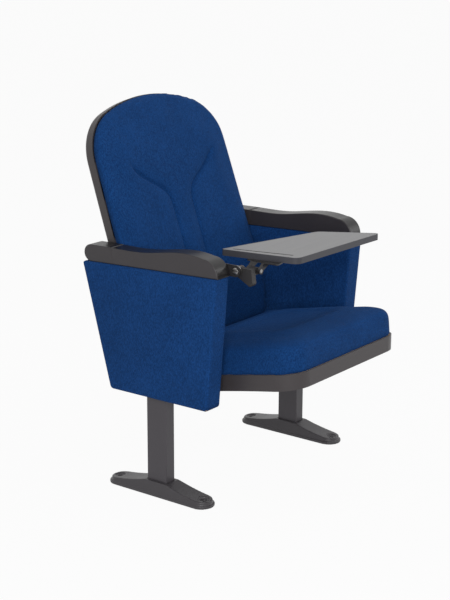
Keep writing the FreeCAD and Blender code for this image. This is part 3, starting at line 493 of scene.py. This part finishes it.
# %% Helpers for padded pieces
COARSE_VOXEL = 12 * MM
FINE_VOXEL = 6 * MM
PAD_SHRINK = 2.0 * MM
PAD_CAP = 4.5 * MM
HELD_GAP = 11 * MM
FREE_GAP = 25 * MM
EVEN_ROUNDS = 8
RELAX_ROUNDS = 10
SIM_FRAMES = 20
CLOTH_QUALITY = 5
INNER_PRESSURE = 4.0


def surface_of(*nodes_there):
    """A search tree over CAD nodes, for the nearest place on them."""
    bm = bmesh.new()
    for node in nodes_there:
        bm.from_mesh(nodes[node].data)
    tree = BVHTree.FromBMesh(bm)
    bm.free()
    return tree


def even_pad(node, name, keeps=lambda place: 1.0):
    """A closed, even copy of a CAD pad. keeps says how closely each place follows the pad."""
    pad = new_piece(name, smooth_mesh(merged_copy(node), name, NEVER_SHARP))
    for size in (COARSE_VOXEL, FINE_VOXEL):
        divide_evenly(pad, size)
    soften(pad.data, EVEN_ROUNDS)
    measured = surface_of(node)
    for point in pad.data.vertices:
        point.co = point.co.lerp(measured.find_nearest(point.co)[0], keeps(point.co))
    return pad


def puff(pad, *neighbours):
    """Fills the pad out by simulation. Points that lie on the neighbours are held."""
    points = pad.data.vertices
    goal = [v.co.copy() for v in points]
    near = surface_of(*neighbours)
    gaps = [near.find_nearest(place)[3] for place in goal]
    held = [i for i, gap in enumerate(gaps) if gap < HELD_GAP]
    for point, gap in zip(points, gaps):
        point.co -= point.normal * PAD_SHRINK * min(max((gap - HELD_GAP) / FREE_GAP, 0.0), 1.0)
    start = [v.co.copy() for v in points]
    pad.vertex_groups.new(name="held").add(held, 1.0, "REPLACE")
    cover = pad.modifiers.new("cover", "CLOTH")
    cover.settings.vertex_group_mass = "held"
    cover.settings.quality = CLOTH_QUALITY
    cover.settings.use_pressure = True
    cover.settings.uniform_pressure_force = INNER_PRESSURE
    cover.settings.effector_weights.gravity = 0.0
    cover.collision_settings.use_collision = False
    cover.point_cache.frame_end = SIM_FRAMES
    for step in range(1, SIM_FRAMES + 1):
        scene.frame_set(step)
    settle(pad)
    scene.frame_set(1)
    moved = 0.0
    for point, origin in zip(pad.data.vertices, start):
        step = point.co - origin
        moved = max(moved, step.length)
        if step.length > PAD_CAP:
            point.co = origin + step * (PAD_CAP / step.length)
    fixed = set(held)
    soften(pad.data, RELAX_ROUNDS, lambda vert: vert.index not in fixed)
    grown = sum((p.co - g).length for p, g in zip(pad.data.vertices, goal)) / len(goal)
    print(pad.name, len(goal), "points, largest move", round(moved / MM, 1), "mm, mean change",
          round(grown / MM, 1), "mm")


def subdivided(pad):
    """One Catmull-Clark subdivision, made part of the mesh."""
    finer = pad.modifiers.new("finer", "SUBSURF")
    finer.levels = finer.render_levels = 1
    settle(pad)
    pad.vertex_groups.clear()
    pad.data.shade_smooth()


def smooth_step(value, low, high):
    """0 below low and 1 above high, with an even curve between them."""
    share = np.clip((value - low) / (high - low), 0, 1)
    return share * share * (3 - 2 * share)


# %% [markdown]
# ### Back cushion
# The back cushion is nearly flat in the middle and curves back to the shell all round. Two sewn
# channels start near the shoulders, come together, and run down side by side, like a Y with a
# double stem. They come after the remesh, which would rub out anything so narrow: each point of
# the front moves back by how near it is to the channel's line, steeply for the stitched valley and
# gently for the swell beside it.

# %% The backrest's own frame
BACK_ORIGIN = Vector((0, 0.1592, 0.6))
TO_BACK = Matrix.Rotation(RECLINE, 3, "X")


def in_back_frame(mesh):
    """Points as rows of across, depth and height in the backrest's own upright frame."""
    flat = np.empty(len(mesh.vertices) * 3)
    mesh.vertices.foreach_get("co", flat)
    return (flat.reshape(-1, 3) - np.array(BACK_ORIGIN)) @ np.array(TO_BACK).T


def put_back(mesh, local):
    world = local @ np.array(TO_BACK) + np.array(BACK_ORIGIN)
    mesh.vertices.foreach_set("co", world.ravel())
    mesh.update()


# %% Sewn channels
CHANNEL = ((172, 197), (158, 181), (140, 163), (120, 148), (98, 134), (76, 121), (58, 108), (46, 93),
           (41, 76), (39.5, 50), (39, 10), (39, -60), (40, -150), (42, -205))
CHANNEL_DEPTH = 8.5 * MM
CHANNEL_HALF = 4.2 * MM
SWELL_DEPTH = 5.0 * MM
SWELL_HALF = 20 * MM
CHANNEL_CLEAR = (10 * MM, 24 * MM)
SEWN_FRONT = (8 * MM, 20 * MM)
FADE_IN, FADE_OUT = (0.0, 0.10), (0.93, 1.0)
FAR_AWAY = 9.0


def channel_distance(across, height):
    """Distance to the nearer channel, and how far along it the nearest place is, from 0 to 1."""
    line = np.array(CHANNEL) * MM
    starts, runs = line[:-1], np.diff(line, axis=0)
    lengths = np.hypot(runs[:, 0], runs[:, 1])
    along = np.concatenate([[0], np.cumsum(lengths)])
    nearest = np.full(len(across), FAR_AWAY)
    travelled = np.zeros(len(across))
    place = np.stack([np.abs(across), height], axis=1)
    for start, run, length, before in zip(starts, runs, lengths, along):
        share = np.clip(((place - start) @ run) / length ** 2, 0, 1)
        gap = np.linalg.norm(place - start - share[:, None] * run, axis=1)
        closer = gap < nearest
        nearest = np.where(closer, gap, nearest)
        travelled = np.where(closer, before + share * length, travelled)
    return nearest, travelled / along[-1]


def sew_channels(mesh):
    local = in_back_frame(mesh)
    gap, share = channel_distance(local[:, 0], local[:, 2])
    front = smooth_step(-local[:, 1], *SEWN_FRONT)
    ends = smooth_step(share, *FADE_IN) * (1 - smooth_step(share, *FADE_OUT))
    valley = CHANNEL_DEPTH * np.exp(-(gap / CHANNEL_HALF) ** 2)
    swell = SWELL_DEPTH * np.exp(-(gap / SWELL_HALF) ** 2)
    pressed = (valley + swell) * front * ends
    local[:, 1] += pressed
    put_back(mesh, local)
    print("channels: deepest", round(float(pressed.max()) / MM, 1), "mm")


def off_the_channels(place):
    """1 away from the channels and 0 along them, where the pad is left filled."""
    local = TO_BACK @ (place - BACK_ORIGIN)
    if local.y >= -SEWN_FRONT[0]:
        return 1.0
    gap = channel_distance(np.array([local.x]), np.array([local.z]))[0][0]
    low, high = CHANNEL_CLEAR
    return min(max((gap - low) / (high - low), 0.0), 1.0)


# %% [markdown]
# ### Edges of the back cushion
# The foam fills the cushion's long sides out to the shell. Its lower edge hangs a little over the
# shell's, behind the seat, so that no gap shows between the back and the seat.

# %% Back cushion
SHOULDER_FILL = 4.5 * MM
SHOULDER_SIDE = (165 * MM, 225 * MM)
SHOULDER_FRONT = (6 * MM, 18 * MM)
SHOULDER_TOP = (230 * MM, 320 * MM)
LIP_DROP = 11 * MM
LIP_SPREAD = 5 * MM
LIP_HEIGHT = (-272 * MM, -215 * MM)
LIP_SIDE = (150 * MM, 235 * MM)


def fill_shoulders(mesh):
    """Foam fills the long side edges of the cushion out to the width of the shell."""
    local = in_back_frame(mesh)
    side = smooth_step(np.abs(local[:, 0]), *SHOULDER_SIDE)
    front = smooth_step(-local[:, 1], *SHOULDER_FRONT)
    middle = 1 - smooth_step(local[:, 2], *SHOULDER_TOP)
    local[:, 0] += SHOULDER_FILL * side * front * middle * np.sign(local[:, 0])
    put_back(mesh, local)


def tuck_lower_edge(mesh):
    """Lets the lower edge of the cushion hang over the shell's edge and spread to its sides."""
    local = in_back_frame(mesh)
    low = 1 - smooth_step(local[:, 2], *LIP_HEIGHT)
    outer = smooth_step(np.abs(local[:, 0]), *LIP_SIDE)
    local[:, 2] -= LIP_DROP * low
    local[:, 0] += LIP_SPREAD * low * outer * np.sign(local[:, 0])
    put_back(mesh, local)


back_pad = even_pad("back_cushion", "back_pad", off_the_channels)
puff(back_pad, "back_shell", "back_board")
subdivided(back_pad)
sew_channels(back_pad.data)
fill_shoulders(back_pad.data)
tuck_lower_edge(back_pad.data)
stand_for(back_pad, "back_cushion")

# %% [markdown]
# ### Seat cushion
# The seat cushion stands on the pan's rim, with upright sides, soft top edges and a crowned top.
# It takes the same steps as the back, held where it rests on the rim. Then its seam is drawn down
# over the rim, and the rear of its top is raised a little to meet the back.

# %% Seat cushion
REAR_LIFT = 6 * MM
REAR_PLACE = (-28 * MM, 45 * MM)
TOP_HEIGHT = (315 * MM, 345 * MM)
SEAM_DROP = 4.5 * MM
SEAM_GAP = (4 * MM, 16 * MM)
seat_pad = even_pad("seat_cushion", "seat_pad")
puff(seat_pad, "seat_pan", "seat_board")
subdivided(seat_pad)
pan = surface_of("seat_pan")
for vert in seat_pad.data.vertices:
    above_pan = pan.find_nearest(vert.co)[3]
    vert.co.z -= float(SEAM_DROP * (1 - smooth_step(above_pan, *SEAM_GAP)))
    rear = 1 - smooth_step(-vert.co.y, *REAR_PLACE)
    top = smooth_step(vert.co.z, *TOP_HEIGHT)
    vert.co.z += float(REAR_LIFT * rear * top)
stand_for(seat_pad, "seat_cushion")

# %% [markdown]
# ### Side panels
# Each side panel is a board with thin foam under the same cloth, pulled taut and stapled where it
# isn't seen. Its faces are almost flat and its edges are rounded by the foam. It is drawn from the
# four corners of its side view: one face, pulled out to the panel's width, with bevelled edges. A
# grid of cuts then lets the outer face crown by a millimetre or two.

# %% Side panels
PANEL_CORNERS = ((-218.4, 567.5), (195.0, 582.1), (168.2, 255.9), (-133.9, 254.7))
PANEL_INNER, PANEL_OUTER = 261.6 * MM, 314.8 * MM
PANEL_BEVEL = 5.5 * MM
PANEL_CORNER = 9 * MM
PANEL_CROWN = 1.8 * MM
PANEL_RISE = 70 * MM
PANEL_RIPPLE = 0.35 * MM
RIPPLES_PER_METRE = 14
PANEL_CUTS, EDGE_CUTS = 22, 4
PANEL_SHARP_ANGLE = 60
LONG_EDGE, CROSSING_EDGE = 40 * MM, 30 * MM
ON_FACE = 0.2 * MM


def edge_distances(point):
    """Distance from a point of the side view to each side of the panel."""
    gaps = []
    for (f0, z0), (f1, z1) in zip(PANEL_CORNERS, PANEL_CORNERS[1:] + PANEL_CORNERS[:1]):
        run = Vector((f1 - f0, z1 - z0)).normalized()
        away = Vector((-point.y / MM - f0, point.z / MM - z0))
        gaps.append(abs(run.cross(away)) * MM)
    return gaps


def runs_across(edge):
    """Whether an edge runs through the panel's thickness."""
    return abs(edge.verts[0].co.x - edge.verts[1].co.x) > CROSSING_EDGE


def side_panel(side):
    """A thin padded board. side is -1 for the sitter's right and 1 for the left."""
    bm = bmesh.new()
    rim = [bm.verts.new((side * PANEL_INNER, -f * MM, z * MM)) for f, z in PANEL_CORNERS]
    bm.faces.new(rim)
    bmesh.ops.bevel(bm, geom=rim[2:], offset=PANEL_CORNER, segments=5, profile=0.5,
                    affect="VERTICES", material=-1)
    face = bm.faces[:][0]
    pulled = bmesh.ops.extrude_face_region(bm, geom=[face])["geom"]
    moved = [v for v in pulled if isinstance(v, bmesh.types.BMVert)]
    bmesh.ops.translate(bm, verts=moved, vec=(side * (PANEL_OUTER - PANEL_INNER), 0, 0))
    bmesh.ops.bevel(bm, geom=bm.edges[:], offset=PANEL_BEVEL, segments=4, profile=0.5,
                    affect="EDGES", material=-1)
    along = [e for e in bm.edges if e.calc_length() > LONG_EDGE and not runs_across(e)]
    bmesh.ops.subdivide_edges(bm, edges=along, cuts=PANEL_CUTS, use_grid_fill=True)
    across = [e for e in bm.edges if runs_across(e)]
    bmesh.ops.subdivide_edges(bm, edges=across, cuts=EDGE_CUTS, use_grid_fill=True)
    bmesh.ops.recalc_face_normals(bm, faces=bm.faces)
    for vert in bm.verts:
        if abs(vert.co.x - side * PANEL_OUTER) < ON_FACE:
            rise = math.prod(min(1.0, gap / PANEL_RISE) for gap in edge_distances(vert.co))
            ripple = noise.noise(vert.co * RIPPLES_PER_METRE) * PANEL_RIPPLE
            vert.co.x += side * (PANEL_CROWN * math.sqrt(rise) + ripple * rise)
    return smooth_mesh(bm, "panel", PANEL_SHARP_ANGLE)


for side, word in ((-1, "right"), (1, "left")):
    panel = new_piece("panel_upholstery_" + word, side_panel(side))
    stand_for(panel, "panel_cover_" + word)
    print(panel.name, len(panel.data.polygons), "faces")

# %% [markdown]
# ### Stage and light
# A plain pale floor catches a soft shadow, and the background is white, as in a studio. White that
# the camera and glossy faces see comes from the floor's and the world's own colour, so it adds no
# plain light to the seat. Three large soft lamps and an even world give light that is almost the
# same on the front, the near side and the top, with the inner faces a little darker.

# %% Floor
FLOOR_HALF = 30.0
FLOOR_GREY = (0.55, 0.55, 0.55, 1)
FLOOR_WHITE = 0.95
PURE_WHITE = (1, 1, 1, 1)


def plainly_seen(tree):
    """1 for rays from the camera, from glossy faces and through glass, and 0 for plain light."""
    ray = add(tree, "LightPath").outputs
    seen_in_gloss = maths(tree, "MAXIMUM", ray["Is Glossy Ray"], ray["Is Transmission Ray"])
    return maths(tree, "MAXIMUM", ray["Is Camera Ray"], seen_in_gloss)


bm = bmesh.new()
bmesh.ops.create_grid(bm, x_segments=1, y_segments=1, size=FLOOR_HALF)
floor_mesh = bpy.data.meshes.new("floor")
bm.to_mesh(floor_mesh)
bm.free()
floor = bpy.data.objects.new("floor", floor_mesh)
scene.collection.objects.link(floor)
floor_material, floor_nodes, floor_shader = new_finish("studio floor")[:3]
floor_shader.inputs["Base Color"].default_value = FLOOR_GREY
floor_shader.inputs["Roughness"].default_value = 0.9
floor_shader.inputs["Specular IOR Level"].default_value = 0.1
white = add(floor_nodes, "Emission", {"Color": PURE_WHITE, "Strength": 1.0})
floor_blend = add(floor_nodes, "MixShader", {
    0: maths(floor_nodes, "MULTIPLY", plainly_seen(floor_nodes), FLOOR_WHITE),
    1: floor_shader.outputs[0],
    2: white.outputs[0],
})
floor_nodes.links.new(floor_blend.outputs[0], floor_nodes.nodes["Material Output"].inputs["Surface"])
floor_mesh.materials.append(floor_material)

# %% World
WORLD_LIGHT = 0.36

world = bpy.data.worlds.new("studio")
world.use_nodes = True
scene.world = world
sky = world.node_tree
fill_light = add(sky, "Background", {"Color": PURE_WHITE, "Strength": WORLD_LIGHT})
backdrop = add(sky, "Background", {"Color": PURE_WHITE, "Strength": 1.0})
sky_blend = add(sky, "MixShader", {
    0: plainly_seen(sky),
    1: fill_light.outputs[0],
    2: backdrop.outputs[0],
})
sky.links.new(sky_blend.outputs[0], sky.nodes["World Output"].inputs["Surface"])


# %% Lamps
LAMP_AIM = Vector((0, 0, 0.5))


def softbox(name, place, size, power):
    """A large square lamp that faces the middle of the seat."""
    lamp = bpy.data.lights.new(name, "AREA")
    lamp.shape = "RECTANGLE"
    lamp.size, lamp.size_y = size
    lamp.energy = power
    obj = bpy.data.objects.new(name, lamp)
    obj.location = place
    obj.rotation_euler = (LAMP_AIM - Vector(place)).to_track_quat("-Z", "Y").to_euler()
    obj.visible_camera = False
    scene.collection.objects.link(obj)


softbox("key box", (-3.2, -2.4, 1.9), (2.0, 2.2), 106)
softbox("top box", (0.4, -0.6, 3.4), (2.6, 2.6), 22)
softbox("far box", (2.8, -2.6, 1.6), (1.8, 1.8), 26)
